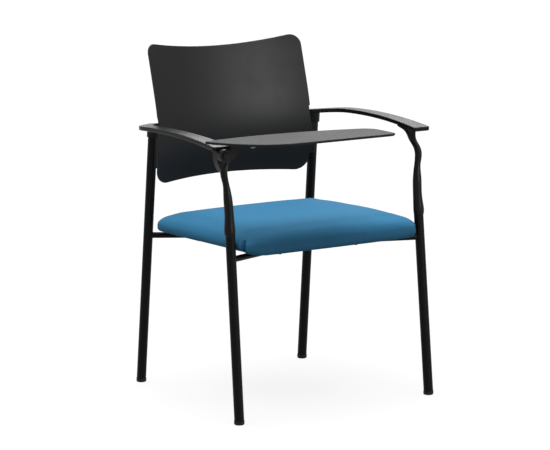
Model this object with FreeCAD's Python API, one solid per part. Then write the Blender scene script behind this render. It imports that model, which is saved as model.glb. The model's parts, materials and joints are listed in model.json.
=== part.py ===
"""Tube-framed chair with a plastic back, an upholstered seat and a folding writing tablet.

Millimetres, +Z up. The origin is on the floor, midway between the legs. The sitter faces -Y, and +X is the
sitter's left. The tablet is on the right arm, at -X.
"""
import math
import os

import FreeCAD
import Part
from FreeCAD import Vector

# Leg tubes: the left-hand pair as straight lines from floor to top, mirrored for the right
TUBE_R = 11.9
TUBE_WALL = 1.5
GLIDE_H = 10.0
FRONT_FOOT = Vector(280.2, -247.4, GLIDE_H)
FRONT_TOP = Vector(276.9, -204.2, 450.0)
REAR_FOOT = Vector(246.0, 266.5, GLIDE_H)
REAR_TOP = Vector(241.6, 206.5, 656.0)

# Floor glides: a rounded foot with a stem up the tube
GLIDE_R = 12.7
GLIDE_EDGE = 3.5
STEM_R = 10.2
STEM_TOP = 32.0
STEM_ROOT = 2.0

# Seat rails, bent at a knee on each side
RAIL_R = 7.5
RAIL_WALL = 1.5
RAIL_BEND = 45.0
FRONT_RAIL_Z = 394.5
FRONT_KNEE = (158.0, -169.0)
REAR_RAIL_Z = 383.5
REAR_KNEE = (145.0, 170.0)

# Seat: plan outline, thickness and the saddles that lift it off the rails
SEAT_FRONT_Y = -236.0
SEAT_REAR_Y = 205.0
SEAT_FRONT_HALF = 263.0
SEAT_REAR_HALF = 251.0
SEAT_CORNER_R = 34.0
SEAT_CORNER_LEAST = 12.0
SEAT_CORNER_SHRINK = 0.6
SEAT_FRONT_BOW = 6.0
SEAT_SIDE_BOW = 3.0
FRONT_LIFT = 6.5
REAR_LIFT = 9.5
FRONT_SADDLE_X = 112.0
REAR_SADDLE_X = 105.0
SADDLE_LENGTH = 44.0
SADDLE_WIDTH = 26.0
BOARD_INSET = 24.0
BOARD_T = 11.0
FIT = 0.2
COVER_T = 2.5
COVER_HALF = 190.0
COVER_Y = (-145.0, 145.0)
COVER_CORNER_R = 30.0
COVER_SCREW_INSET = 20.0
PILOT_DEPTH = 9.6
# Cushion rings from bottom to crown: height above the seat's underside, and how far inside the outline
CUSHION_RINGS = ((0.0, 7.0), (4.0, 2.0), (13.0, 0.0), (26.5, 2.0), (36.0, 9.0), (41.5, 24.0), (45.0, 60.0),
                 (46.5, 115.0))

# Back shell: outline seen from the front, to its sharp corners; hollow across, and leaning back above the arms
SHELL_HALF = 228.0
SHELL_T = 5.0
SHELL_HOLLOW = 40.0
SHELL_TOP = 864.0
SHELL_TOP_DIP = 23.0
SHELL_TOP_R = 24.0
SHELL_LOW = 510.0
SHELL_LOW_RISE = 10.0
SHELL_LOW_R = 35.0
SHELL_TRIM = 25.0
# Height and the place in Y of the shell's side edges
SHELL_LEAN = ((490.0, 211.5), (570.0, 204.0), (640.0, 199.5), (700.0, 208.5), (780.0, 230.5), (880.0, 265.0))
CLIP_Z = (556.0, 636.0)
CLIP_WALL = 3.5
CLIP_REACH = 12.0
CLIP_SCREW_Z = (576.0, 616.0)
CLIP_SCREW_INWARD = 4.0
CLIP_PAST_CENTRE = 2.0
SPOT_FACE = 1.0
SOCKET_CLEARANCE = 1.0

# Arms: the left one, mirrored for the right. The pad arches from front to rear
PAD_T = 10.5
PAD_FRONT_Y = -195.0
PAD_ARCH = ((-205.0, 664.5), (30.0, 679.0), (235.0, 666.0))
PAD_OUTER_X = 317.0
PAD_INNER_FRONT_X = 268.5
PAD_EDGE_R = 2.5
# Plan corners where the pad bends in to the rear tube, a point of its bowed inner edge, and each corner's radius
PAD_BEND_OUTER = (314.5, 166.0)
PAD_BEND_INNER = (281.0, 156.0)
PAD_WAIST = (277.0, -30.0)
PAD_FRONT_R = 7.0
PAD_BEND_OUTER_R = 66.0
PAD_BEND_INNER_R = 70.0
PAD_TAIL_R = 14.8
SOCKET_R = 15.0
SOCKET_LOW = 636.0
SOCKET_CAP = 5.0
SPIGOT_R = 10.2
SPIGOT_LENGTH = 42.0
# Upright sections: height, centre in X and Y, half-width in X, half-depth in Y
UPRIGHT = ((450.0, 276.9, -204.2, 11.9, 11.9), (490.0, 276.6, -200.3, 11.8, 11.8),
           (525.0, 277.0, -196.9, 11.2, 11.2), (555.0, 278.6, -194.0, 9.6, 9.4),
           (580.0, 282.0, -191.5, 8.0, 8.4), (600.0, 285.0, -189.5, 8.6, 9.4),
           (615.0, 282.8, -186.6, 8.6, 10.2), (628.0, 277.0, -182.2, 8.2, 11.6),
           (640.0, 273.4, -177.6, 7.6, 14.0), (650.0, 272.8, -173.0, 7.0, 19.0),
           (657.0, 273.6, -164.0, 6.8, 28.0), (663.0, 275.0, -152.0, 7.0, 39.0))
SECTION_POINTS = 16
LOFT_DEGREE = 2

# Tablet hinge: a head under the right pad, and a fore-aft bolt that the horn-shaped bracket turns on
HINGE_X = -293.0
HINGE_Z = 645.0
HEAD_FRONT_Y = -193.5
HEAD_REAR_Y = -174.0
HEAD_TOP = 660.0
HEAD_FOOT = (-286.0, 603.0)
HEAD_FOOT_HALF = 5.0
HEAD_OUTER_CURVE = ((-306.0, 641.0), (-302.0, 622.0))
HEAD_INNER_CURVE = ((-276.0, 618.0), (-273.0, 635.0))
BOLT_R = 5.0
RUN_FIT = 0.05
BOLT_HEAD_R = 8.5
BOLT_HEAD_T = 3.0
BOLT_HEAD_EDGE = 1.2
BOLT_SPARE = 2.0
NUT_R = 8.5
NUT_T = 5.0
WASHER_R = 12.5
WASHER_T = 3.0
GAP = 0.4
BOSS_R = 16.0
BRACKET_DEPTH = 15.0
HORN_TOP_X = (-281.0, -255.0)
HORN_HEEL = (-290.0, 629.5)
HORN_BELLY = (-266.0, 642.0)
HORN_THROAT = (-282.0, 653.0)
HORN_HOLLOW = (-278.5, 662.0)
STOP_R = 2.5
STOP_AT = (-277.0, 630.6)

# Swivel and tablet top
SWING = Vector(-240.0, -245.0, 0.0)
PLATE_R = 17.0
PLATE_T = 5.0
FLANGE_R = 25.0
FLANGE_T = 3.4
SWIVEL_R = 4.0
SWIVEL_NUT_R = 8.0
SWIVEL_NUT_T = 6.0
TABLET_LOW = 681.5
TABLET_T = 6.0
TABLET_EDGE = 2.0
TABLET_UNDER_BEVEL = 2.5
TABLET_TIP = (-366.0, -222.0)
TABLET_REAR_MID = (-150.0, -212.0)
TABLET_RIGHT_REAR = (95.0, -259.0)
TABLET_RIGHT_FRONT = (95.0, -367.0)
TABLET_SHOULDER = (-283.0, -367.0)
TABLET_RADII = (10.0, 42.0, 18.0, 170.0)

# Screws
SCREW_R = 2.0
SCREW_HEAD_R = 4.2
SCREW_HEAD_T = 2.2
SCREW_DOME = 1.0
SCREW_FIT = 0.2
SCREW_LENGTH = 9.0
SINK_R = 3.6
SINK_DEPTH = 2.0
ARM_SCREW_RISE = 9.0
ARM_SCREW_STAND = 0.4
TABLET_SCREW_RING = 20.0
TABLET_SCREW_LENGTH = 8.0

# Lengths that only have to reach past a piece when cutting it, and how near a corner counts as at it
PAST = 1.0
FAR = 400.0
TOUCH = 0.1

Z = Vector(0, 0, 1)


def line(start, end):
    """A straight edge."""
    return Part.LineSegment(Vector(*start), Vector(*end)).toShape()


def arc(start, middle, end):
    """A round edge through three points."""
    return Part.Arc(Vector(*start), Vector(*middle), Vector(*end)).toShape()


def prism(edges, sweep):
    """A solid swept straight from a closed outline."""
    return Part.Face(Part.Wire(edges)).extrude(Vector(*sweep))


def upright_edges(rows, y):
    """Edges in the upright plane at y, from rows of two points for a line or three for an arc."""
    return [(line if len(row) == 2 else arc)(*[(x, y, z) for x, z in row]) for row in rows]


def rod(start, end, radius):
    """A round bar from one point to another."""
    run = end - start
    return Part.makeCylinder(radius, run.Length, start, run)


def round_corners(block, corners):
    """Rounds the upright edges of a block at the given corners, each with its own radius."""
    for corner, radius in corners:
        upright = [edge for edge in block.Edges if len(edge.Vertexes) == 2
                   and all(math.hypot(v.X - corner[0], v.Y - corner[1]) < TOUCH for v in edge.Vertexes)]
        block = block.makeFillet(radius, upright)
    return block


def mirrored(shape):
    """The same piece on the sitter's other side."""
    return shape.mirror(Vector(0, 0, 0), Vector(1, 0, 0))


def at_height(start, end, height):
    """The point of a leg's centre line at a height."""
    share = (height - start.z) / (end.z - start.z)
    return start + (end - start) * share


def slab(low, high):
    """A wide block between two heights."""
    return Part.makeBox(2 * FAR, 2 * FAR, high - low, Vector(-FAR, -FAR, low))


def upright_hole(x, y, low, high):
    """The space of a screw's shank, standing upright."""
    return rod(Vector(x, y, low), Vector(x, y, high), SCREW_R + SCREW_FIT)


def leg_bar(foot, top, low, high, radius):
    """A bar on a leg's centre line, cut level at both ends."""
    long_bar = rod(at_height(foot, top, low - radius), at_height(foot, top, high + radius), radius)
    return long_bar.common(slab(low, high))


def leg(foot, top):
    """A leg tube."""
    outer = leg_bar(foot, top, foot.z, top.z, TUBE_R)
    return outer.cut(leg_bar(foot, top, foot.z - PAST, top.z + PAST, TUBE_R - TUBE_WALL))


def glide(foot, top):
    """A floor glide with its stem in the tube."""
    base = Part.makeCylinder(GLIDE_R, GLIDE_H, Vector(foot.x, foot.y, 0))
    base = base.makeFillet(GLIDE_EDGE, [edge for edge in base.Edges if edge.Closed and edge.BoundBox.ZMax < PAST])
    return base.fuse(leg_bar(foot, top, GLIDE_H - STEM_ROOT, STEM_TOP, STEM_R)).removeSplitter()


def bent_path(points, radius):
    """A path of straight runs joined by tangent arcs."""
    edges = []
    start = points[0]
    for before, corner, after in zip(points, points[1:], points[2:]):
        way_in = (corner - before).normalize()
        way_out = (after - corner).normalize()
        turn = way_in.getAngle(way_out)
        setback = radius * math.tan(turn / 2)
        bend_start = corner - way_in * setback
        bend_end = corner + way_out * setback
        inward = (way_out - way_in).normalize()
        middle = corner + inward * (radius / math.cos(turn / 2) - radius)
        edges.append(line(start, bend_start))
        edges.append(arc(bend_start, middle, bend_end))
        start = bend_end
    edges.append(line(start, points[-1]))
    return Part.Wire(edges)


def bent_bar(points, radius, bend):
    """A round bar along a bent path."""
    path = bent_path(points, bend)
    circle = Part.Wire(Part.makeCircle(radius, points[0], points[1] - points[0]))
    return path.makePipeShell([circle], True, False)


def rail(foot, top, height, knee, saddle_x):
    """A seat rail between the two legs of a pair, with holes for the seat screws."""
    end = at_height(foot, top, height)
    points = [Vector(-end.x, end.y, height), Vector(-knee[0], knee[1], height),
              Vector(knee[0], knee[1], height), Vector(end.x, end.y, height)]
    shape = bent_bar(points, RAIL_R, RAIL_BEND).cut(bent_bar(points, RAIL_R - RAIL_WALL, RAIL_BEND))
    leg_space = leg_bar(foot, top, height - 2 * TUBE_R, height + 2 * TUBE_R, TUBE_R)
    shape = shape.cut(leg_space).cut(mirrored(leg_space))
    for x in (-saddle_x, saddle_x):
        shape = shape.cut(upright_hole(x, knee[1], height - 2 * RAIL_R, height + 2 * RAIL_R))
    return max(shape.Solids, key=lambda solid: solid.Volume)


def seat_plane(shape):
    """Puts a piece drawn on the seat's own underside onto the two rails."""
    front = FRONT_RAIL_Z + RAIL_R + FRONT_LIFT
    rear = REAR_RAIL_Z + RAIL_R + REAR_LIFT
    slope = (front - rear) / (REAR_KNEE[1] - FRONT_KNEE[1])
    moved = shape.copy()
    moved.rotate(Vector(0, 0, 0), Vector(1, 0, 0), -math.degrees(math.atan(slope)))
    moved.translate(Vector(0, 0, rear + slope * REAR_KNEE[1]))
    return moved


def seat_outline(inset, height):
    """The seat's plan outline, drawn in by an inset, as four bowed sides and four round corners."""
    front, rear = SEAT_FRONT_Y + inset, SEAT_REAR_Y - inset
    half_front, half_rear = SEAT_FRONT_HALF - inset, SEAT_REAR_HALF - inset
    radius = max(SEAT_CORNER_R - SEAT_CORNER_SHRINK * inset, SEAT_CORNER_LEAST)
    short = radius * (1 - math.sqrt(0.5))
    half_middle = (half_front + half_rear) / 2 + SEAT_SIDE_BOW
    middle = (front + rear) / 2
    points = []
    for side in (1, -1):
        corner = [(half_front - radius, front), (half_front - short, front + short), (half_front, front + radius),
                  (half_middle, middle), (half_rear, rear - radius), (half_rear - short, rear - short),
                  (half_rear - radius, rear)]
        row = [(side * x, y, height) for x, y in corner]
        points.append(row if side > 0 else row[::-1])
    right, left = points
    edges = [arc(*right[0:3]), arc(*right[2:5]), arc(*right[4:7]), line(right[6], left[0]),
             arc(*left[0:3]), arc(*left[2:5]), arc(*left[4:7]),
             arc(left[6], (0, front - SEAT_FRONT_BOW, height), right[0])]
    return Part.Wire(edges)


def seat_board():
    """The plywood board inside the seat, with pilot holes."""
    board = Part.Face(seat_outline(BOARD_INSET, 0)).extrude(Vector(0, 0, BOARD_T))
    for x, y in screw_places() + cover_screw_places():
        board = board.cut(upright_hole(x, y, -PAST, PILOT_DEPTH))
    return board


def seat_cushion():
    """The upholstered seat: crowned above, drawn in below, with a pocket for the board."""
    rings = [seat_outline(inset, height) for height, inset in CUSHION_RINGS]
    crown = Part.makeLoft(rings, True, False, False, LOFT_DEGREE)
    pocket = Part.Face(seat_outline(BOARD_INSET - FIT, -PAST)).extrude(Vector(0, 0, PAST + BOARD_T + FIT))
    return crown.cut(pocket)


def screw_places():
    """Where the seat screws stand, in plan."""
    rows = ((FRONT_SADDLE_X, FRONT_KNEE[1]), (REAR_SADDLE_X, REAR_KNEE[1]))
    return [(side * x, y) for x, y in rows for side in (1, -1)]


def cover_screw_places():
    """Where the cover's screws stand, in plan."""
    across = COVER_HALF - COVER_SCREW_INSET
    rows = (COVER_Y[0] + COVER_SCREW_INSET, COVER_Y[1] - COVER_SCREW_INSET)
    return [(side * across, y) for y in rows for side in (1, -1)]


def seat_cover():
    """The flat cover under the board, between the rails."""
    depth = COVER_Y[1] - COVER_Y[0]
    plate = Part.makeBox(2 * COVER_HALF, depth, COVER_T, Vector(-COVER_HALF, COVER_Y[0], -COVER_T))
    corners = [edge for edge in plate.Edges if abs(edge.tangentAt(edge.FirstParameter).z) > 0.9]
    plate = plate.makeFillet(COVER_CORNER_R, corners)
    for x, y in cover_screw_places():
        plate = plate.cut(upright_hole(x, y, -2 * COVER_T, COVER_T))
    return plate


def saddle(x, y, rail_z, lift):
    """A block that fits over a rail and carries the board."""
    corner = Vector(x - SADDLE_LENGTH / 2, y - SADDLE_WIDTH / 2, rail_z)
    block = Part.makeBox(SADDLE_LENGTH, SADDLE_WIDTH, RAIL_R + 4 * lift, corner)
    seat_space = seat_plane(slab(0, FAR))
    groove = rod(Vector(x - SADDLE_LENGTH, y, rail_z), Vector(x + SADDLE_LENGTH, y, rail_z), RAIL_R)
    hole = upright_hole(x, y, rail_z - RAIL_R, rail_z + 3 * RAIL_R)
    return block.cut(seat_space).cut(groove).cut(hole)


def screw(head_at, way, length=SCREW_LENGTH):
    """A pan-head screw: the head's underside is at head_at, and the shank runs along way."""
    shank = rod(head_at, head_at + way * length, SCREW_R)
    head = rod(head_at - way * SCREW_HEAD_T, head_at, SCREW_HEAD_R)
    rim = [edge for edge in head.Edges if edge.Closed and (edge.CenterOfMass - head_at).dot(way) < -SCREW_HEAD_T / 2]
    return shank.fuse(head.makeFillet(SCREW_DOME, rim)).removeSplitter()


def shell_section(height, edge_y):
    """A level cut through the back shell: two arcs, hollow towards the sitter."""
    half = SHELL_HALF + SHELL_TRIM
    hollow = SHELL_HOLLOW * (half / SHELL_HALF) ** 2
    side = edge_y - (hollow - SHELL_HOLLOW)
    front = [(-half, side, height), (0, side + hollow, height), (half, side, height)]
    rear = [(half, side + SHELL_T, height), (0, side + hollow + SHELL_T, height), (-half, side + SHELL_T, height)]
    return Part.Wire([arc(*front), line(front[2], rear[0]), arc(*rear), line(rear[2], front[0])])


def shell_block():
    """The shell's outline seen from the front, as a deep block with round corners."""
    half, top, low = SHELL_HALF, SHELL_TOP, SHELL_LOW
    edges = [line((half, low, -FAR), (half, top, -FAR)),
             arc((half, top, -FAR), (0, top - SHELL_TOP_DIP, -FAR), (-half, top, -FAR)),
             line((-half, top, -FAR), (-half, low, -FAR)),
             arc((-half, low, -FAR), (0, low + SHELL_LOW_RISE, -FAR), (half, low, -FAR))]
    corners = [((side * half, height), radius) for side in (1, -1)
               for height, radius in ((top, SHELL_TOP_R), (low, SHELL_LOW_R))]
    block = round_corners(prism(edges, (0, 0, FAR)), corners)
    block.rotate(Vector(0, 0, 0), Vector(1, 0, 0), 90)
    return block


def back_shell():
    """The moulded back, with a half clip on each side round the inner face of the rear tube."""
    body = Part.makeLoft([shell_section(*row) for row in SHELL_LEAN], True, False)
    ear = SHELL_HALF + CLIP_REACH
    ears = Part.makeBox(2 * ear, FAR, CLIP_Z[1] - CLIP_Z[0], Vector(-ear, 0, CLIP_Z[0]))
    shape = body.common(shell_block().fuse(ears))
    clip = leg_bar(REAR_FOOT, REAR_TOP, CLIP_Z[0], CLIP_Z[1], TUBE_R + CLIP_WALL + FIT)
    clip = clip.common(Part.makeBox(FAR, FAR, FAR, Vector(REAR_TOP.x + CLIP_PAST_CENTRE - FAR, 0, CLIP_Z[0])))
    tube = leg_bar(REAR_FOOT, REAR_TOP, SHELL_LOW, CLIP_Z[1] + TUBE_R, TUBE_R + FIT)
    socket = leg_bar(REAR_FOOT, REAR_TOP, CLIP_Z[1], REAR_TOP.z + 2 * TUBE_R, SOCKET_R + SOCKET_CLEARANCE)
    shape = shape.fuse([clip, mirrored(clip)]).cut([tube, socket, mirrored(tube), mirrored(socket)])
    for spot, way in clip_screw_spots():
        shape = shape.cut(rod(spot, spot - way * TUBE_R, SCREW_HEAD_R + FIT))
    shape = drill(shape, clip_screw_spots()).removeSplitter()
    return max(shape.Solids, key=lambda solid: solid.Volume)


def clip_screw_spots():
    """Head place and direction of the back screws, on flats behind the rear tubes."""
    spots = []
    for height in CLIP_SCREW_Z:
        centre = at_height(REAR_FOOT, REAR_TOP, height)
        depth = math.sqrt((TUBE_R + CLIP_WALL + FIT) ** 2 - CLIP_SCREW_INWARD ** 2) - SPOT_FACE
        for side in (1, -1):
            place = Vector(side * (centre.x - CLIP_SCREW_INWARD), centre.y + depth, height)
            spots.append((place, Vector(0, -1, 0)))
    return spots


def upright_section(height, x, y, half_x, half_y):
    """An oval level cut through an arm's upright."""
    points = []
    for step in range(SECTION_POINTS):
        turn = 2 * math.pi * step / SECTION_POINTS
        points.append(Vector(x + half_x * math.cos(turn), y + half_y * math.sin(turn), height))
    curve = Part.BSplineCurve()
    curve.interpolate(points, PeriodicFlag=True)
    return Part.Wire(curve.toShape())


def pad_block():
    """The arm pad in plan, tall: straight along the seat, then bent inwards to the rear tube."""
    tube = Vector(REAR_TOP.x, REAR_TOP.y, 0)
    bend_outer = Vector(*PAD_BEND_OUTER, 0)
    bend_inner = Vector(*PAD_BEND_INNER, 0)
    way = (tube - (bend_outer + bend_inner) / 2).normalize()
    tail = tube + way * SOCKET_R
    side = way.cross(Z) * SOCKET_R
    corners = ((Vector(PAD_INNER_FRONT_X, PAD_FRONT_Y, 0), PAD_FRONT_R),
               (Vector(PAD_OUTER_X, PAD_FRONT_Y, 0), PAD_FRONT_R),
               (bend_outer, PAD_BEND_OUTER_R), (tail + side, PAD_TAIL_R), (tail - side, PAD_TAIL_R),
               (bend_inner, PAD_BEND_INNER_R))
    places = [corner for corner, radius in corners]
    edges = [line(a, b) for a, b in zip(places, places[1:])]
    edges.append(arc(bend_inner, (*PAD_WAIST, 0), places[0]))
    return round_corners(prism(edges, (0, 0, 2 * FAR)), corners)


def arm(hinge_head=None):
    """The left arm moulding; a hinge head drawn for the left side can be moulded on."""
    top = [(0, y, z) for y, z in PAD_ARCH]
    low = [(0, y, z - PAD_T) for y, z in PAD_ARCH][::-1]
    band = prism([arc(*top), line(top[2], low[0]), arc(*low), line(low[2], top[0])], (FAR, 0, 0))
    pad = pad_block().common(band)
    rims = [edge for edge in pad.Edges if on_rim(edge)]
    pad = pad.makeFillet(PAD_EDGE_R, rims)
    post = Part.makeLoft([upright_section(*row) for row in UPRIGHT], True, False)
    spigot = leg_bar(FRONT_FOOT, FRONT_TOP, FRONT_TOP.z - SPIGOT_LENGTH, FRONT_TOP.z + PAST, SPIGOT_R)
    socket = leg_bar(REAR_FOOT, REAR_TOP, SOCKET_LOW, REAR_TOP.z + SOCKET_CAP, SOCKET_R)
    bore = leg_bar(REAR_FOOT, REAR_TOP, SOCKET_LOW - PAST, REAR_TOP.z + FIT, TUBE_R + FIT)
    shape = pad.fuse([post, spigot, socket] + ([hinge_head] if hinge_head else []))
    return shape.cut(bore)


def on_rim(edge):
    """True for an edge of the pad's top or underside, not for one of its upright corner edges."""
    ends = [vertex.Point for vertex in edge.Vertexes]
    return len(ends) < 2 or math.hypot(ends[0].x - ends[1].x, ends[0].y - ends[1].y) > 1.0


def hinge_head():
    """The shield-shaped head under the pad, drawn at -X, with its bore for the hinge bolt."""
    foot_x, foot_z = HEAD_FOOT
    foot_outer = (foot_x - HEAD_FOOT_HALF, foot_z)
    foot_inner = (foot_x + HEAD_FOOT_HALF, foot_z)
    outer_top = (HEAD_OUTER_CURVE[0][0], HEAD_TOP)
    inner_top = (HEAD_INNER_CURVE[1][0], HEAD_TOP)
    rows = [(inner_top, outer_top), (outer_top, HEAD_OUTER_CURVE[0]), (*HEAD_OUTER_CURVE, foot_outer),
            (foot_outer, foot_inner), (foot_inner, *HEAD_INNER_CURVE), (HEAD_INNER_CURVE[1], inner_top)]
    return prism(upright_edges(rows, HEAD_FRONT_Y), (0, HEAD_REAR_Y - HEAD_FRONT_Y, 0))


def hinge_bar(front_y, rear_y, radius):
    """A bar on the hinge's fore-aft axis."""
    return rod(Vector(HINGE_X, front_y, HINGE_Z), Vector(HINGE_X, rear_y, HINGE_Z), radius)


def bracket_rear():
    """The Y of the bracket's rear face, in front of the washer."""
    return HEAD_FRONT_Y - WASHER_T - GAP


def plate_top():
    """The height of the plate that the swivel flange turns on."""
    return TABLET_LOW - FLANGE_T - GAP


def tablet_bracket():
    """The bracket: a boss on the hinge bolt, a horn rising from it and a plate under the tablet."""
    y = bracket_rear()
    top = plate_top()
    left, right = HORN_TOP_X
    rows = [(HORN_HEEL, HORN_BELLY, (right, top)), ((right, top), (left, top)),
            ((left, top), HORN_HOLLOW, HORN_THROAT), (HORN_THROAT, HORN_HEEL)]
    horn = prism(upright_edges(rows, y), (0, -BRACKET_DEPTH, 0))
    boss = hinge_bar(y - BRACKET_DEPTH, y, BOSS_R)
    low = Vector(0, 0, top - PLATE_T)
    plate = Part.makeCylinder(PLATE_R, PLATE_T, SWING + low)
    neck_points = [(left, y), (right, y), (SWING.x + PLATE_R, SWING.y), (SWING.x - PLATE_R, SWING.y)]
    corners = [(px, py, low.z) for px, py in neck_points]
    neck = prism([line(a, b) for a, b in zip(corners, corners[1:] + corners[:1])], (0, 0, PLATE_T))
    shape = boss.fuse([horn, plate, neck])
    shape = shape.cut(hinge_bar(y - BRACKET_DEPTH - PAST, y + PAST, BOLT_R + RUN_FIT))
    shape = shape.cut(rod(SWING + Z * (top - PLATE_T - PAST), SWING + Z * (top + PAST), SWIVEL_R + RUN_FIT))
    return shape.removeSplitter()


def hinge_bolt():
    """The bolt that the bracket turns on, with a low round head in front."""
    front = bracket_rear() - BRACKET_DEPTH - GAP
    head = hinge_bar(front - BOLT_HEAD_T, front, BOLT_HEAD_R)
    rim = [edge for edge in head.Edges if edge.Closed and edge.CenterOfMass.y < front - PAST]
    head = head.makeFillet(BOLT_HEAD_EDGE, rim)
    return head.fuse(hinge_bar(front, HEAD_REAR_Y + NUT_T + BOLT_SPARE, BOLT_R)).removeSplitter()


def hex_nut(radius, thickness, base, way, hole):
    """A six-sided nut with a plain hole."""
    corner = way.cross(Vector(1, 0, 0)) * radius
    corners = [base + FreeCAD.Rotation(way, 60.0 * step).multVec(corner) for step in range(6)]
    body = prism([line(a, b) for a, b in zip(corners, corners[1:] + corners[:1])], way * thickness)
    return body.cut(rod(base - way, base + way * (thickness + PAST), hole))


def hinge_washer():
    """The friction washer between the head and the bracket."""
    disc = hinge_bar(HEAD_FRONT_Y - WASHER_T, HEAD_FRONT_Y, WASHER_R)
    return disc.cut(hinge_bar(HEAD_FRONT_Y - WASHER_T - PAST, HEAD_FRONT_Y + PAST, BOLT_R + FIT))


def lift_stop():
    """The peg on the head that the horn's heel rests on when the tablet is down."""
    x, z = STOP_AT
    front = bracket_rear() - BRACKET_DEPTH / 2
    return rod(Vector(x, HEAD_FRONT_Y, z), Vector(x, front, z), STOP_R)


def swivel_pin():
    """The pin under the tablet's flange that turns in the bracket's plate."""
    low = plate_top() - PLATE_T - GAP - SWIVEL_NUT_T - BOLT_SPARE
    return rod(SWING + Z * low, SWING + Z * (plate_top() + GAP), SWIVEL_R)


def swivel_flange():
    """The round flange screwed under the tablet, with countersunk holes."""
    flange = Part.makeCylinder(FLANGE_R, FLANGE_T, SWING + Z * (plate_top() + GAP))
    for place in tablet_screw_places():
        flange = flange.cut(countersunk_screw(place, SCREW_FIT))
    return flange


def tablet_screw_places():
    """Where the tablet's screws stand, on a ring round the swivel."""
    places = []
    for step in range(4):
        turn = math.radians(45 + 90 * step)
        offset = Vector(math.cos(turn), math.sin(turn), 0) * TABLET_SCREW_RING
        places.append(SWING + offset + Z * (plate_top() + GAP))
    return places


def countersunk_screw(place, extra=0.0):
    """A countersunk screw, driven upwards, flush with the flange's underside."""
    cone = Part.makeCone(SINK_R + extra, SCREW_R + extra, SINK_DEPTH, place)
    return cone.fuse(rod(place, place + Z * (TABLET_SCREW_LENGTH + extra), SCREW_R + extra)).removeSplitter()


def tablet_top():
    """The writing surface: a leaf-shaped board with eased edges and a bevel round its underside."""
    z = TABLET_LOW
    tip, rear = (*TABLET_TIP, z), (*TABLET_REAR_MID, z)
    right_rear, right_front = (*TABLET_RIGHT_REAR, z), (*TABLET_RIGHT_FRONT, z)
    shoulder = (*TABLET_SHOULDER, z)
    board = prism([arc(tip, rear, right_rear), line(right_rear, right_front), line(right_front, shoulder),
                   line(shoulder, tip)], (0, 0, TABLET_T))
    board = round_corners(board, zip((tip, right_rear, right_front, shoulder), TABLET_RADII))
    rim = [edge for edge in board.Edges if edge.BoundBox.ZMin > z + TABLET_T - TOUCH]
    board = board.makeFillet(TABLET_EDGE, rim)
    under = [edge for edge in board.Edges if edge.BoundBox.ZMax < z + TOUCH]
    board = board.makeChamfer(TABLET_UNDER_BEVEL, under)
    for place in tablet_screw_places():
        board = board.cut(countersunk_screw(place, SCREW_FIT))
    return board


def arm_screw_spots():
    """Head place and direction of the screws that hold the arms to the leg tubes."""
    rear = at_height(REAR_FOOT, REAR_TOP, SOCKET_LOW + ARM_SCREW_RISE)
    front = at_height(FRONT_FOOT, FRONT_TOP, FRONT_TOP.z - SPIGOT_LENGTH / 2)
    spots = []
    for side in (1, -1):
        for centre, radius in ((rear, SOCKET_R), (front, TUBE_R)):
            place = Vector(side * centre.x, centre.y + radius + ARM_SCREW_STAND, centre.z)
            spots.append((place, Vector(0, -1, 0)))
    return spots


def drill(shape, spots):
    """Clears screw holes in a piece."""
    for place, way in spots:
        shape = shape.cut(rod(place - way, place + way * (SCREW_LENGTH + FIT), SCREW_R + SCREW_FIT))
    return shape


def save(name, shape):
    """Writes one piece."""
    shape.exportStep("parts/%s.step" % name)
    print(name, len(shape.Solids), "valid" if shape.isValid() else "NOT VALID", round(shape.Volume / 1000, 2), "cm3")


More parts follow.
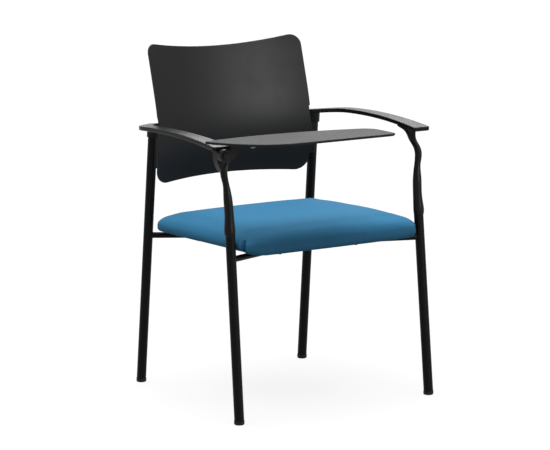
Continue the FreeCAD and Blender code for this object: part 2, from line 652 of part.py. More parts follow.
def build():
    """Makes every piece and writes it."""
    os.makedirs("parts", exist_ok=True)
    arm_spots = arm_screw_spots()
    back_spots = clip_screw_spots()

    front_leg = drill(leg(FRONT_FOOT, FRONT_TOP), arm_spots)
    rear_leg = drill(leg(REAR_FOOT, REAR_TOP), arm_spots + back_spots)
    save("front_leg_left", front_leg)
    save("front_leg_right", mirrored(front_leg))
    save("rear_leg_left", rear_leg)
    save("rear_leg_right", mirrored(rear_leg))
    for name, foot, top in (("front", FRONT_FOOT, FRONT_TOP), ("rear", REAR_FOOT, REAR_TOP)):
        foot_glide = glide(foot, top)
        save("glide_%s_left" % name, foot_glide)
        save("glide_%s_right" % name, mirrored(foot_glide))
    save("front_rail", rail(FRONT_FOOT, FRONT_TOP, FRONT_RAIL_Z, FRONT_KNEE, FRONT_SADDLE_X))
    save("rear_rail", rail(REAR_FOOT, REAR_TOP, REAR_RAIL_Z, REAR_KNEE, REAR_SADDLE_X))

    save("seat_board", seat_plane(seat_board()))
    save("seat_cushion", seat_plane(seat_cushion()))
    save("seat_cover", seat_plane(seat_cover()))
    seat_screws = []
    for name, x, y, height, lift in (("front", FRONT_SADDLE_X, FRONT_KNEE[1], FRONT_RAIL_Z, FRONT_LIFT),
                                     ("rear", REAR_SADDLE_X, REAR_KNEE[1], REAR_RAIL_Z, REAR_LIFT)):
        for side_name, side in (("left", 1), ("right", -1)):
            save("saddle_%s_%s" % (name, side_name), saddle(side * x, y, height, lift))
            place = Vector(side * x, y, height - RAIL_R - GAP)
            seat_screws.append(screw(place, Z, 2 * RAIL_R + lift + SCREW_LENGTH - PAST))
    save("seat_screws", Part.makeCompound(seat_screws))
    cover_screws = [screw(Vector(x, y, -COVER_T), Z) for x, y in cover_screw_places()]
    save("cover_screws", seat_plane(Part.makeCompound(cover_screws)))

    save("back_shell", back_shell())
    save("back_screws", Part.makeCompound([screw(*spot) for spot in back_spots]))

    save("arm_left", drill(arm(), arm_spots))
    right_arm = mirrored(arm(mirrored(hinge_head())))
    right_arm = right_arm.cut(hinge_bar(HEAD_FRONT_Y - PAST, HEAD_REAR_Y + PAST, BOLT_R + FIT))
    right_arm = right_arm.cut(hinge_bar(HEAD_FRONT_Y - WASHER_T - PAST, HEAD_FRONT_Y, WASHER_R + FIT))
    save("arm_right", drill(right_arm, arm_spots))
    save("arm_screws", Part.makeCompound([screw(*spot) for spot in arm_spots]))

    save("hinge_bolt", hinge_bolt())
    nut_seat = Vector(HINGE_X, HEAD_REAR_Y, HINGE_Z)
    save("hinge_nut", hex_nut(NUT_R, NUT_T, nut_seat, Vector(0, 1, 0), BOLT_R + FIT))
    save("hinge_washer", hinge_washer())
    save("lift_stop", lift_stop().cut(right_arm))
    save("tablet_bracket", tablet_bracket())
    save("swivel_pin", swivel_pin())
    nut_base = SWING + Z * (plate_top() - PLATE_T - GAP - SWIVEL_NUT_T)
    save("swivel_nut", hex_nut(SWIVEL_NUT_R, SWIVEL_NUT_T, nut_base, Z, SWIVEL_R + FIT))
    save("swivel_flange", swivel_flange())
    save("tablet_screws", Part.makeCompound([countersunk_screw(place) for place in tablet_screw_places()]))
    save("tablet_top", tablet_top())


build()
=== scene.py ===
"""Dresses the tablet arm chair: finishes for its solid pieces, a stuffed seat, and a plain white studio.

Metres, +Z up, in the frame of the solids.
The sitter faces -Y, and the writing tablet is on the right arm, at -X.
"""
import json
import logging
import math
from dataclasses import dataclass, field
from enum import Enum

import bmesh
import bpy
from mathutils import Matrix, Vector

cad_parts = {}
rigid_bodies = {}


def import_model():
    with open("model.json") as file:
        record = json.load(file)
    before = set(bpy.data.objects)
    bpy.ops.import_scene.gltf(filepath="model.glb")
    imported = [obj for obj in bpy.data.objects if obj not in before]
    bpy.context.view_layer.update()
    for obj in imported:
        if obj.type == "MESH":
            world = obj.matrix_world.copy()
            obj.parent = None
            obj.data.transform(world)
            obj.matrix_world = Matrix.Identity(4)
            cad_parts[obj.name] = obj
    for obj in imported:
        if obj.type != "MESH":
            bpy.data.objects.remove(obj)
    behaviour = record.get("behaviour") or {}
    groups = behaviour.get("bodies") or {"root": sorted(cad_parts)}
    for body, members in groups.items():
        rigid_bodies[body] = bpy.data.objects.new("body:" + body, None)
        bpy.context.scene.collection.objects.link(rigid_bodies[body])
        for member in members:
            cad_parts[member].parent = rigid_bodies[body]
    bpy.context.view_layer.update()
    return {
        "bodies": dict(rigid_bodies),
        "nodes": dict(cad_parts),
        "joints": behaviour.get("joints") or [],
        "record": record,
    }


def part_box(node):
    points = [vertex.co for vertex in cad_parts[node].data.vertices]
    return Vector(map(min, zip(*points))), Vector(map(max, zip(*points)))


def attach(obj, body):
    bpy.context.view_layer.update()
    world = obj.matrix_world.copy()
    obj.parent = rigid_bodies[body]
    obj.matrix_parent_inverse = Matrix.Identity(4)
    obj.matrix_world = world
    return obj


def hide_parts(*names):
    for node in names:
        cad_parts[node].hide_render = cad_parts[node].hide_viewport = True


LOG = logging.getLogger("tablet_chair")
MM = 0.001
CHAIR = "chair"

WHITE = (1.0, 1.0, 1.0, 1.0)

Colour = tuple[float, float, float]


class Grain(Enum):
    """The fine relief that a finish has."""

    MOULDED = "moulded"
    POWDER = "powder"
    WOVEN = "woven"
    BRUSHED = "brushed"
    PLY = "ply"


class Shader(Enum):
    """The shader node that a new material or a new sky starts with."""

    SURFACE = "Principled BSDF"
    SKY = "Background"


class Bench:
    """Lays out and joins the nodes of one material, or of the sky."""

    def __init__(self, owner: bpy.types.ID, shader: Shader) -> None:
        """Starts on an owner that has only its shader and its output.

        Args:
            owner: The new material or world.
            shader: Which shader it has.
        """
        owner.use_nodes = True
        self.owner = owner
        self.tree = owner.node_tree
        self.shader = self.tree.nodes[shader.value]

    def node(self, kind: str, **values: object) -> bpy.types.Node:
        """Adds a node.

        Args:
            kind: Blender's name for the node's type.
            values: Settings of the node, or values of its inputs with spaces written as underscores.

        Returns:
            The new node.
        """
        made = self.tree.nodes.new(kind)
        for name, value in values.items():
            if hasattr(made, name):
                setattr(made, name, value)
            else:
                made.inputs[name.replace("_", " ")].default_value = value
        return made

    def link(self, source: bpy.types.NodeSocket, target: bpy.types.NodeSocket) -> None:
        """Joins two sockets."""
        self.tree.links.new(source, target)

    def math(self, operation: str, first: object, second: object = 0.0) -> bpy.types.NodeSocket:
        """Adds a calculation with two sockets or numbers.

        Args:
            operation: The calculation's name, such as MULTIPLY.
            first: A socket or a number.
            second: A socket or a number.

        Returns:
            The result's socket.
        """
        made = self.node("ShaderNodeMath", operation=operation)
        for slot, value in zip(made.inputs, (first, second)):
            if isinstance(value, bpy.types.NodeSocket):
                self.link(value, slot)
            else:
                slot.default_value = value
        return made.outputs["Value"]

    def noise(self, place: bpy.types.NodeSocket, size: float, detail: float = 2.0) -> bpy.types.NodeSocket:
        """Adds a cloudy pattern.

        Args:
            place: The coordinates that it reads.
            size: The width of one cloud in metres.
            detail: How many finer layers it has.

        Returns:
            The pattern's value, from 0 to 1.
        """
        made = self.node("ShaderNodeTexNoise", Scale=1.0 / size, Detail=detail)
        self.link(place, made.inputs["Vector"])
        return made.outputs["Fac"]

    def between(self, value: bpy.types.NodeSocket, low: float, high: float) -> bpy.types.NodeSocket:
        """Spreads a 0 to 1 pattern between two numbers.

        Args:
            value: The pattern.
            low: The result where the pattern is 0.
            high: The result where it is 1.

        Returns:
            The spread value.
        """
        made = self.node("ShaderNodeMapRange", To_Min=low, To_Max=high)
        self.link(value, made.inputs["Value"])
        return made.outputs["Result"]

    def mix(self, value: bpy.types.NodeSocket, first: object, second: object) -> bpy.types.NodeSocket:
        """Mixes two colours.

        Args:
            value: The share of the second colour.
            first: A colour or a colour's socket.
            second: A colour or a colour's socket.

        Returns:
            The mixed colour's socket.
        """
        made = self.node("ShaderNodeMix", data_type="RGBA")
        self.link(value, made.inputs["Factor"])
        for name, colour in (("A", first), ("B", second)):
            slot = next(s for s in made.inputs if s.name == name and s.type == "RGBA")
            if isinstance(colour, bpy.types.NodeSocket):
                self.link(colour, slot)
            else:
                slot.default_value = (*colour, 1.0)
        return next(s for s in made.outputs if s.type == "RGBA")


@dataclass(frozen=True)
class PlainWeave:
    """Warp and weft ridges that pass over each other in turn, with a little fuzz."""

    thread: float
    ridge_low: float = 0.35
    ridge_high: float = 0.65
    fuzz_width: float = 0.6
    fuzz_detail: float = 3.0
    fuzz_height: float = 0.2

    def height(self, bench: Bench, place: bpy.types.NodeSocket) -> bpy.types.NodeSocket:
        """The weave's height pattern.

        Args:
            bench: The material's bench.
            place: Coordinates along the cloth, in metres.

        Returns:
            The height's socket, from 0 to 1.
        """
        split = bench.node("ShaderNodeSeparateXYZ")
        bench.link(place, split.inputs["Vector"])
        turn = math.pi / self.thread
        warp, weft = (bench.math("SINE", bench.math("MULTIPLY", axis, turn)) for axis in split.outputs[:2])
        over = bench.between(bench.math("MULTIPLY", warp, weft), self.ridge_low, self.ridge_high)
        fuzz = bench.noise(place, self.thread * self.fuzz_width, self.fuzz_detail)
        ridge = bench.math("ADD", over, bench.between(fuzz, -self.fuzz_height, self.fuzz_height))
        ridge.node.use_clamp = True
        return ridge


@dataclass(frozen=True)
class Finish:
    """One surface finish of the chair: a clouded colour and gloss, and a fine grain in relief."""

    name: str
    colour: Colour
    tint: Colour
    roughness: float
    grain: Grain
    grain_size: float
    relief: float
    specular: float = 0.5
    metallic: float = 0.0
    sheen: float = 0.0
    sheen_roughness: float = 0.4
    mottle: float = 50.0 * MM
    mottle_detail: float = 4.0
    mottle_gloss: float = 0.05
    grain_gloss: float = 0.04
    grain_detail: float = 6.0
    grain_stretch: float = 0.06
    # Share of the colour kept in the low parts of the grain: painted shade in a weave's hollows, the wood's
    # own darker grain in plywood.
    hollow_painted_shade_and_grain: float = 0.72
    hollow_share: float = 0.85
    bump_strength: float = 0.6

    def material(self) -> bpy.types.Material:
        """Builds the finish as a material of nodes.

        Returns:
            The material.
        """
        bench = Bench(bpy.data.materials.new(self.name), Shader.SURFACE)
        place = self.place(bench)
        spot = bench.node("ShaderNodeTexCoord").outputs["Object"]
        clouds = bench.noise(spot, self.mottle, self.mottle_detail)
        grain = self.height(bench, place)
        shader = bench.shader
        shader.inputs["Metallic"].default_value = self.metallic
        shader.inputs["Specular IOR Level"].default_value = self.specular
        shader.inputs["Sheen Weight"].default_value = self.sheen
        shader.inputs["Sheen Roughness"].default_value = self.sheen_roughness
        bench.link(self.shade(bench, clouds, grain), shader.inputs["Base Color"])
        cloud_gloss = bench.between(clouds, -self.mottle_gloss, self.mottle_gloss)
        gloss = bench.math("ADD", cloud_gloss, bench.between(grain, -self.grain_gloss, self.grain_gloss))
        bench.link(bench.math("ADD", gloss, self.roughness), shader.inputs["Roughness"])
        bump = bench.node("ShaderNodeBump", Strength=self.bump_strength, Distance=self.relief)
        bench.link(grain, bump.inputs["Height"])
        bench.link(bump.outputs["Normal"], shader.inputs["Normal"])
        return bench.owner

    def shade(self, bench: Bench, clouds: bpy.types.NodeSocket,
              grain: bpy.types.NodeSocket) -> bpy.types.NodeSocket:
        """The finish's colour, with painted shade in the hollows of a weave, and the darker grain lines that
        plywood has of its own.

        Args:
            bench: The material's bench.
            clouds: The cloudy pattern.
            grain: The grain's height.

        Returns:
            The colour's socket.
        """
        plain = bench.mix(clouds, self.colour, self.tint)
        if self.grain not in (Grain.WOVEN, Grain.PLY):
            return plain
        # Darker colour in the low parts: painted shade in a weave's hollows, real darker grain lines in
        # plywood.
        dark = tuple(self.hollow_painted_shade_and_grain * c for c in self.colour)
        painted_shade_and_grain = bench.mix(clouds, dark, self.colour)
        return bench.mix(bench.between(grain, 0.0, self.hollow_share), painted_shade_and_grain, plain)

    def place(self, bench: Bench) -> bpy.types.NodeSocket:
        """The coordinates that the grain reads: along the cloth for a weave, in the chair's frame otherwise.

        Args:
            bench: The material's bench.

        Returns:
            The coordinates' socket.
        """
        spot = bench.node("ShaderNodeTexCoord")
        return spot.outputs["UV" if self.grain is Grain.WOVEN else "Object"]

    def height(self, bench: Bench, place: bpy.types.NodeSocket) -> bpy.types.NodeSocket:
        """The grain's height pattern.

        Args:
            bench: The material's bench.
            place: The coordinates that it reads.

        Returns:
            The height's socket, from 0 to 1.
        """
        if self.grain is Grain.WOVEN:
            return PlainWeave(self.grain_size).height(bench, place)
        if self.grain is Grain.MOULDED:
            cells = bench.node("ShaderNodeTexVoronoi", feature="SMOOTH_F1", Scale=1.0 / self.grain_size)
            bench.link(place, cells.inputs["Vector"])
            return cells.outputs["Distance"]
        if self.grain in (Grain.BRUSHED, Grain.PLY):
            stretch = bench.node("ShaderNodeMapping", Scale=(self.grain_stretch, 1.0, 1.0))
            bench.link(place, stretch.inputs["Vector"])
            return bench.noise(stretch.outputs["Vector"], self.grain_size, self.grain_detail)
        return bench.noise(place, self.grain_size)


FINISHES: dict[str, Finish] = {
    "frame_paint": Finish("satin_black_powder_coat", (0.0030, 0.0030, 0.0032), (0.0045, 0.0045, 0.0048),
                          roughness=0.42, grain=Grain.POWDER, grain_size=1.1 * MM, relief=0.06 * MM,
                          specular=0.08),
    "arm_plastic": Finish("black_nylon", (0.0036, 0.0036, 0.0038), (0.0050, 0.0050, 0.0052),
                          roughness=0.37, grain=Grain.MOULDED, grain_size=0.9 * MM, relief=0.02 * MM,
                          specular=0.12),
    "shell_plastic": Finish("black_polypropylene", (0.0075, 0.0075, 0.0075), (0.0100, 0.0100, 0.0100),
                            roughness=0.45, grain=Grain.MOULDED, grain_size=0.8 * MM, relief=0.05 * MM,
                            specular=0.16),
    "glide_plastic": Finish("black_glide", (0.0060, 0.0060, 0.0063), (0.0090, 0.0090, 0.0090),
                            roughness=0.5, grain=Grain.MOULDED, grain_size=1.0 * MM, relief=0.05 * MM,
                            specular=0.16),
    "seat_fabric": Finish("blue_wool", (0.047, 0.250, 0.462), (0.055, 0.272, 0.496),
                          roughness=0.88, grain=Grain.WOVEN, grain_size=1.1 * MM, relief=0.35 * MM,
                          specular=0.12, sheen=0.08, mottle=12.0 * MM),
    "seat_ply": Finish("bare_plywood", (0.50, 0.34, 0.19), (0.42, 0.27, 0.14),
                       roughness=0.62, grain=Grain.PLY, grain_size=4.0 * MM, relief=0.1 * MM,
                       specular=0.3),
    "cover_plastic": Finish("matt_black_cover", (0.0080, 0.0080, 0.0080), (0.0120, 0.0120, 0.0120),
                            roughness=0.58, grain=Grain.MOULDED, grain_size=1.2 * MM, relief=0.08 * MM,
                            specular=0.2),
    "dark_screw": Finish("black_zinc", (0.016, 0.016, 0.017), (0.024, 0.024, 0.025),
                         roughness=0.42, grain=Grain.BRUSHED, grain_size=0.6 * MM, relief=0.02 * MM,
                         metallic=0.7, mottle=4.0 * MM),
    "hinge_steel": Finish("plated_steel", (0.17, 0.17, 0.175), (0.13, 0.13, 0.135),
                          roughness=0.36, grain=Grain.BRUSHED, grain_size=0.5 * MM, relief=0.02 * MM,
                          metallic=1.0, mottle=6.0 * MM),
    "washer_plastic": Finish("black_acetal", (0.0100, 0.0100, 0.0100), (0.0140, 0.0140, 0.0140),
                             roughness=0.45, grain=Grain.MOULDED, grain_size=0.8 * MM, relief=0.03 * MM,
                             specular=0.2),
    "bracket_paint": Finish("cast_black_paint", (0.0050, 0.0050, 0.0053), (0.0075, 0.0075, 0.0078),
                            roughness=0.40, grain=Grain.POWDER, grain_size=1.4 * MM, relief=0.08 * MM,
                            specular=0.16),
    "tablet_laminate": Finish("black_laminate", (0.0220, 0.0220, 0.0225), (0.0262, 0.0262, 0.0268),
                              roughness=0.48, grain=Grain.MOULDED, grain_size=0.7 * MM, relief=0.03 * MM,
                              specular=0.05),
}


class Paintshop:
    """Makes each finish once and puts it on the pieces that take it."""

    def __init__(self, record: dict) -> None:
        """Makes the materials.

        Args:
            record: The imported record, which says which slot each solid takes.
        """
        self.made = {slot: finish.material() for slot, finish in FINISHES.items()}
        self.slots = {row["node"]: row["material_slot"] for row in record["subparts"]}

    def dress_solid(self, node: bpy.types.Object) -> None:
        """Puts a solid's own finish on all of its slots.

        Args:
            node: The solid's object.
        """
        material = self.made[self.slots[node.name]]
        if not node.material_slots:
            node.data.materials.append(material)
        for slot in node.material_slots:
            slot.material = material

    def dress_piece(self, piece: bpy.types.Object, slot: str) -> None:
        """Puts a slot's finish on a new piece.

        Args:
            piece: The piece.
            slot: The record's slot.
        """
        piece.data.materials.clear()
        piece.data.materials.append(self.made[slot])


def new_piece(name: str, mesh: bpy.types.Mesh) -> bpy.types.Object:
    """Adds an object for a mesh, at the origin.

    Args:
        name: The piece's name.
        mesh: Its mesh, in place.

    Returns:
        The object.
    """
    piece = bpy.data.objects.new(name, mesh)
    bpy.context.scene.collection.objects.link(piece)
    return piece


def ease(share: float) -> float:
    """A smooth step from 0 to 1.

    Args:
        share: How far along the step, which is held between 0 and 1.

    Returns:
        The step's height.
    """
    held = min(1.0, max(0.0, share))
    return held * held * (3.0 - 2.0 * held)


def settled(piece: bpy.types.Object) -> bpy.types.Mesh:
    """The mesh that a piece's modifiers make.

    Args:
        piece: The piece.

    Returns:
        A new mesh.
    """
    graph = bpy.context.evaluated_depsgraph_get()
    graph.update()
    return bpy.data.meshes.new_from_object(piece.evaluated_get(graph))


def shade_smooth(mesh: bpy.types.Mesh) -> None:
    """Shades all of a mesh's faces as one soft surface.

    Args:
        mesh: The mesh, which is changed.
    """
    for face in mesh.polygons:
        face.use_smooth = True


@dataclass
class SeatCushion:
    """The upholstered seat: foam under blue cloth, with a roll in front of its rail and pleated corners."""

    solid: str = "seat_cushion"
    name: str = "seat_upholstery"
    slot: str = "seat_fabric"
    fill: float = 0.8
    rake: float = 8.0 / 339.0
    # The foam's even mesh, and how the cloth swells over it.
    merge_gap: float = 0.01 * MM
    voxel: float = 5.0 * MM
    draw_in: float = 2.5 * MM
    pressure: float = 4.0
    frames: int = 20
    top_swell: float = 4.0 * MM
    side_swell: float = 1.2 * MM
    held_height: float = 8.0 * MM
    # Rounding, all over and then of the top edge alone.
    smooth_factor: float = 0.5
    even_rounds: int = 4
    round_rounds: int = 12
    round_height: float = 24.0 * MM
    # The top's crown.
    crown: float = 2.6 * MM
    crown_fall: float = 2.7
    crown_foot: float = 20.0 * MM
    # The lower edge: sides drawn up, and a roll in front that narrows beyond a knee on each side.
    side_lift: float = 5.0 * MM
    lift_inset: float = 24.0 * MM
    lift_height: float = 22.0 * MM
    roll_drop: float = 11.5 * MM
    roll_height: float = 32.0 * MM
    roll_start: float = -199.0 * MM
    roll_run: float = 16.0 * MM
    right_taper: float = 185.0 * MM
    left_taper: float = 228.0 * MM
    taper_run: float = 85.0 * MM
    roll_knee: float = 207.0 * MM
    roll_slant: float = 0.30
    # The plan's corners, and the fold in each.
    front_half: float = 263.0 * MM
    rear_half: float = 251.0 * MM
    corner_radius: float = 34.0 * MM
    corner_fill: float = 4.0 * MM
    pleat_turn: float = 38.0
    front_pleat: float = 17.0 * MM
    rear_pleat: float = 5.0 * MM
    pleat_lap: float = 7.5 * MM
    pleat_lip: float = 3.0 * MM
    pleat_height: float = 38.0 * MM
    pleat_sharpness: float = 0.3
    pleat_reach: float = 15.0 * MM
    lap_spread: float = 3.0
    lip_spread: float = 4.0

    def build(self, shop: Paintshop) -> bpy.types.Object:
        """Makes the seat and puts it in the solid's place.

        Args:
            shop: Where its cloth comes from.

        Returns:
            The finished piece.
        """
        piece = new_piece(self.name, self.foam())
        self.swell(piece)
        self.smooth(piece)
        self.dome(piece)
        self.hem(piece)
        self.fill_corners(piece)
        self.pleat(piece)
        self.unroll(piece)
        shop.dress_piece(piece, self.slot)
        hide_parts(self.solid)
        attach(piece, CHAIR)
        return piece

    def foam(self) -> bpy.types.Mesh:
        """The foam's form: the solid's own, as an even mesh.

        Returns:
            The mesh.
        """
        mesh = bpy.data.objects[self.solid].data.copy()
        form = bmesh.new()
        form.from_mesh(mesh)
        bmesh.ops.remove_doubles(form, verts=form.verts, dist=self.merge_gap)
        form.to_mesh(mesh)
        form.free()
        block = new_piece("foam_block", mesh)
        remesh = block.modifiers.new("even", "REMESH")
        remesh.mode = "VOXEL"
        remesh.voxel_size = self.voxel
        even = settled(block)
        bpy.data.objects.remove(block)
        return even

    def swell(self, piece: bpy.types.Object) -> None:
        """Lets the cloth swell over the foam by simulation, and keeps the result.

        Args:
            piece: The seat, which is changed.
        """
        start = [v.co.copy() for v in piece.data.vertices]
        upward = [max(0.0, v.normal.z) for v in piece.data.vertices]
        rises = self.rises(start)
        for vert, rise in zip(piece.data.vertices, rises):
            if rise > self.held_height:
                vert.co -= vert.normal * self.draw_in
        held = piece.vertex_groups.new(name="held")
        held.add([i for i, rise in enumerate(rises) if rise <= self.held_height], 1.0, "REPLACE")
        cloth = piece.modifiers.new("cloth", "CLOTH").settings
        cloth.use_pressure = True
        cloth.uniform_pressure_force = self.pressure
        cloth.vertex_group_mass = "held"
        cloth.effector_weights.gravity = 0.0
        for frame in range(1, self.frames + 1):
            bpy.context.scene.frame_set(frame)
        swollen = settled(piece)
        ends = [v.co.copy() for v in swollen.vertices]
        piece.modifiers.clear()
        piece.vertex_groups.clear()
        bpy.data.meshes.remove(swollen)
        for vert, before, after, up in zip(piece.data.vertices, start, ends, upward):
            move = after - before
            most = self.side_swell + (self.top_swell - self.side_swell) * up
            vert.co = before + move.normalized() * min(move.length, most)

    def rises(self, points: list[Vector]) -> list[float]:
        """How far points of the seat are above its raked underside.

        Args:
            points: The points.

        Returns:
            The heights, in the same order.
        """
        low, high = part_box(self.solid)
        return [point.z - low.z - self.rake * (high.y - point.y) for point in points]

    def smooth(self, piece: bpy.types.Object) -> None:
        """Evens the cloth, rounds its top edge further and gives it one finer level.

        Args:
            piece: The seat, which is changed.
        """
        form = bmesh.new()
        form.from_mesh(piece.data)
        rises = self.rises([vert.co for vert in form.verts])
        upper = [vert for vert, rise in zip(form.verts, rises) if rise > self.round_height]
        for verts, rounds in ((form.verts, self.even_rounds), (upper, self.round_rounds)):
            for _ in range(rounds):
                bmesh.ops.smooth_vert(form, verts=verts, factor=self.smooth_factor, use_axis_x=True,
                                      use_axis_y=True, use_axis_z=True)
        form.to_mesh(piece.data)
        form.free()
        finer = piece.modifiers.new("finer", "SUBSURF")
        finer.levels = 1
        finer.render_levels = 1
        old = piece.data
        piece.data = settled(piece)
        piece.modifiers.clear()
        bpy.data.meshes.remove(old)
        shade_smooth(piece.data)

    def dome(self, piece: bpy.types.Object) -> None:
        """Crowns the top: fuller over the middle and along the edges than at the four corners.

        Args:
            piece: The seat, which is changed.
        """
        low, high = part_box(self.solid)
        middle = (low + high) / 2.0
        half = (high - low) / 2.0
        verts = piece.data.vertices
        for vert, rise in zip(verts, self.rises([v.co for v in verts])):
            corner = ((vert.co.x - middle.x) / half.x * (vert.co.y - middle.y) / half.y) ** 2
            upper = ease((rise - self.crown_foot) / self.crown_foot)
            vert.co.z += self.crown * (1.0 - self.crown_fall * corner) * upper

    def hem(self, piece: bpy.types.Object) -> None:
        """Shapes the lower edge: a roll hangs in front of the rail, and the sides are drawn up towards it.

        Args:
            piece: The seat, which is changed.
        """
        low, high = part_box(self.solid)
        verts = piece.data.vertices
        for vert, rise in zip(verts, self.rises([v.co for v in verts])):
            back = self.roll_start - self.roll_slant * max(0.0, abs(vert.co.x) - self.roll_knee)
            rolled = ease((back - vert.co.y) / self.roll_run)
            forward = (high.y - vert.co.y) / (high.y - low.y)
            inset = self.rear_half + (self.front_half - self.rear_half) * forward - abs(vert.co.x)
            lift = self.side_lift * forward * ease(1.0 - inset / self.lift_inset) * (1.0 - rolled)
            vert.co.z += lift * ease(1.0 - rise / self.lift_height)
            taper = self.left_taper if vert.co.x > 0.0 else self.right_taper
            drop = self.roll_drop * ease(1.0 - (abs(vert.co.x) - taper) / self.taper_run)
            vert.co.z -= drop * rolled * ease(1.0 - rise / self.roll_height)

    def corners(self) -> list[tuple[Vector, Vector]]:
        """The centre of each round corner and the way out through its pleat, in plan.

        Returns:
            Four pairs of centre and direction.
        """
        low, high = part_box(self.solid)
        rows = ((self.front_half, low.y, 1.0), (self.rear_half, high.y, -1.0))
        turn = math.radians(self.pleat_turn)
        pairs = []
        for half, edge, inward in rows:
            for side in (1.0, -1.0):
                centre = Vector((side * (half - self.corner_radius), edge + inward * self.corner_radius))
                pairs.append((centre, Vector((side * math.cos(turn), -inward * math.sin(turn)))))
        return pairs

    def fill_corners(self, piece: bpy.types.Object) -> None:
        """Fills the two front corners out a little, most along their diagonals.

        Args:
            piece: The seat, which is changed.
        """
        for centre, outward in self.corners()[:2]:
            for vert in piece.data.vertices:
                spot = vert.co.to_2d() - centre
                if spot.x * outward.x > 0.0 and spot.y * outward.y > 0.0:
                    share = 2.0 * abs(spot.x * spot.y) / spot.length_squared
                    rim = ease(spot.length / self.pleat_reach - 1.0)
                    vert.co += spot.normalized().to_3d() * self.corner_fill * share * rim

    def pleat(self, piece: bpy.types.Object) -> None:
        """Folds the cloth at each corner: the side tucks in under the lip of the front or the rear.

        Args:
            piece: The seat, which is changed.
        """
        form = bmesh.new()
        form.from_mesh(piece.data)
        for centre, outward in self.corners():
            along = Vector((-abs(outward.y) * math.copysign(1.0, outward.x),
                            abs(outward.x) * math.copysign(1.0, outward.y)))
            coarse = [vert for vert in form.verts if self.in_fold(vert.co.to_2d() - centre, outward, along)]
            edges = {edge for vert in coarse for edge in vert.link_edges}
            bmesh.ops.subdivide_edges(form, edges=list(edges), cuts=1, use_grid_fill=True)
            fold = [vert for vert in form.verts if self.in_fold(vert.co.to_2d() - centre, outward, along)]
            self.tuck(fold, centre, outward, along)
        form.to_mesh(piece.data)
        form.free()
        shade_smooth(piece.data)

    def tuck(self, fold: list[bmesh.types.BMVert], centre: Vector, outward: Vector, along: Vector) -> None:
        """Pushes one corner's fold in: deepest at the lower edge, with a short lip and a longer lap.

        Args:
            fold: The fold's vertices, which are moved.
            centre: The corner's centre in plan.
            outward: The way out through the fold.
            along: The way across the fold, towards its lip.
        """
        depth = self.front_pleat if outward.y < 0.0 else self.rear_pleat
        for vert, rise in zip(fold, self.rises([vert.co for vert in fold])):
            spot = vert.co.to_2d() - centre
            across = spot.dot(along)
            width = self.pleat_lap if across < 0.0 else self.pleat_lip
            groove = math.exp(-(across / width) ** 2)
            fade = max(0.0, 1.0 - rise / self.pleat_height) ** self.pleat_sharpness
            rim = ease(spot.length / self.pleat_reach - 1.0)
            vert.co -= outward.to_3d() * depth * groove * fade * rim

    def in_fold(self, spot: Vector, outward: Vector, along: Vector) -> bool:
        """Whether a point is near a corner's fold.

        Args:
            spot: The point in plan, from the corner's centre.
            outward: The way out through the fold.
            along: The way across the fold, towards its lip.

        Returns:
            True near the fold.
        """
        lap = self.lap_spread * self.pleat_lap
        beside = -lap < spot.dot(along) < self.lip_spread * self.pleat_lip
        return beside and spot.dot(outward) > 0.0 and spot.length > self.pleat_reach

    def unroll(self, piece: bpy.types.Object) -> None:
        """Lays the cloth's own coordinates, in metres: flat on top and folded down the sides.

        Args:
            piece: The seat, which gets the map.
        """
        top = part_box(self.solid)[1].z
        layer = piece.data.uv_layers.new(name="cloth")
        for loop in piece.data.loops:
            vert = piece.data.vertices[loop.vertex_index]
            drop = top - vert.co.z
            layer.data[loop.index].uv = vert.co.to_2d() + vert.normal.to_2d() * drop


class LampKind(Enum):
    """How a lamp gives its light."""

    SKYLIGHT = "SUN"
    CARD = "AREA"


@dataclass(frozen=True)
class Lamp:
    """A soft lamp that faces the chair: an even skylight, or a square card that only gloss shows."""

    name: str
    kind: LampKind
    place: tuple[float, float, float]
    spread: float
    power: float

    def build(self, target: Vector) -> None:
        """Adds the lamp.

        Args:
            target: The point that it faces.
        """
        data = bpy.data.lights.new(self.name, self.kind.value)
        data.energy = self.power
        lamp = bpy.data.objects.new(self.name, data)
        lamp.location = target + Vector(self.place)
        lamp.rotation_euler = Vector(self.place).to_track_quat("Z", "Y").to_euler()
        if self.kind is LampKind.SKYLIGHT:
            data.angle = math.radians(self.spread)
        else:
            data.size = self.spread
            lamp.visible_diffuse = False
        bpy.context.scene.collection.objects.link(lamp)


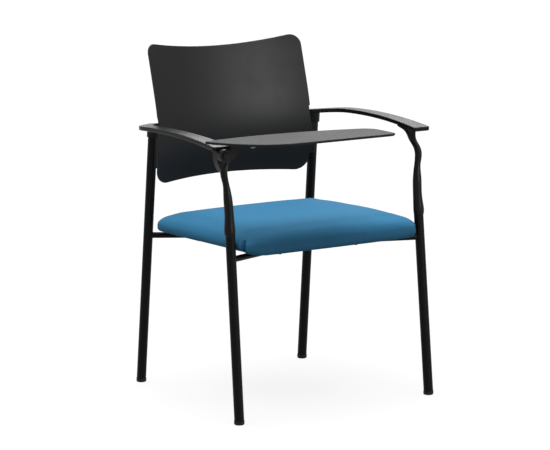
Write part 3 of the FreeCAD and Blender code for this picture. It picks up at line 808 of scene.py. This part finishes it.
@dataclass
class Studio:
    """A white sweep, soft lamps and a camera at the photograph's angle."""

    eye: Vector = field(default_factory=lambda: Vector((-3.878, -5.860, 1.683)))
    target: Vector = field(default_factory=lambda: Vector((0.0, 0.0226, 0.4164)))
    lens: float = 187.9
    sensor: float = 36.0
    far_clip: float = 200.0
    floor_half: float = 40.0
    floor_drop: float = 0.2 * MM
    floor_roughness: float = 0.9
    floor_tone: float = 0.15
    floor_glow: float = 0.87
    sky_light: float = 0.25
    lamps: tuple[Lamp, ...] = (Lamp("overhead", LampKind.SKYLIGHT, (-0.06, -0.06, 1.0), 60.0, 2.9),
                               Lamp("front_card", LampKind.CARD, (1.15, -3.55, 1.5), 1.5, 120.0),
                               Lamp("back_card", LampKind.CARD, (2.0, 3.0, 2.6), 1.8, 68.0))

    def build(self) -> None:
        """Sets up the camera, the floor, the sky and the lamps."""
        self.camera()
        self.floor()
        self.sky()
        for lamp in self.lamps:
            lamp.build(self.target)
        bpy.context.scene.view_settings.view_transform = "Standard"

    def camera(self) -> None:
        """Adds the camera."""
        data = bpy.data.cameras.new("photo_camera")
        data.lens = self.lens
        data.sensor_width = self.sensor
        data.sensor_fit = "HORIZONTAL"
        data.clip_end = self.far_clip
        camera = bpy.data.objects.new("photo_camera", data)
        camera.location = self.eye
        camera.rotation_euler = (self.target - self.eye).to_track_quat("-Z", "Y").to_euler()
        bpy.context.scene.collection.objects.link(camera)
        bpy.context.scene.camera = camera

    def seen(self, bench: Bench) -> bpy.types.NodeSocket:
        """1 for rays that show the background: from the camera, in a reflection or through glass.

        Args:
            bench: The bench of the material or sky.

        Returns:
            The value's socket.
        """
        path = bench.node("ShaderNodeLightPath")
        shown = bench.math("MAXIMUM", path.outputs["Is Camera Ray"], path.outputs["Is Glossy Ray"])
        return bench.math("MAXIMUM", shown, path.outputs["Is Transmission Ray"])

    def floor(self) -> None:
        """Lays the pale floor, which keeps the chair's shadow."""
        form = bmesh.new()
        bmesh.ops.create_grid(form, x_segments=2, y_segments=2, size=self.floor_half)
        bmesh.ops.translate(form, verts=form.verts, vec=(0.0, 0.0, -self.floor_drop))
        mesh = bpy.data.meshes.new("floor")
        form.to_mesh(mesh)
        form.free()
        floor = new_piece("floor", mesh)
        bench = Bench(bpy.data.materials.new("pale_floor"), Shader.SURFACE)
        bench.shader.inputs["Base Color"].default_value = (*[self.floor_tone] * 3, 1.0)
        bench.shader.inputs["Roughness"].default_value = self.floor_roughness
        bench.shader.inputs["Specular IOR Level"].default_value = 0.0
        bench.shader.inputs["Emission Color"].default_value = WHITE
        glow = bench.math("MULTIPLY", self.seen(bench), self.floor_glow)
        bench.link(glow, bench.shader.inputs["Emission Strength"])
        mesh.materials.append(bench.owner)

    def sky(self) -> None:
        """Fills the world with even white light, which is dimmer where it lights than where it shows."""
        world = bpy.data.worlds.new("white_sweep")
        bpy.context.scene.world = world
        bench = Bench(world, Shader.SKY)
        bench.shader.inputs["Color"].default_value = WHITE
        strength = bench.between(self.seen(bench), self.sky_light, 1.0)
        bench.link(strength, bench.shader.inputs["Strength"])


def main() -> None:
    """Builds the dressed chair and its studio."""
    logging.basicConfig(level=logging.INFO, format="%(name)s: %(message)s")
    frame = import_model()
    shop = Paintshop(frame["record"])
    for node in frame["nodes"].values():
        shop.dress_solid(node)
        LOG.info("finish on %s", node.name)
    LOG.info("built %s", SeatCushion().build(shop).name)
    Studio().build()


if __name__ == "__main__":
    main()
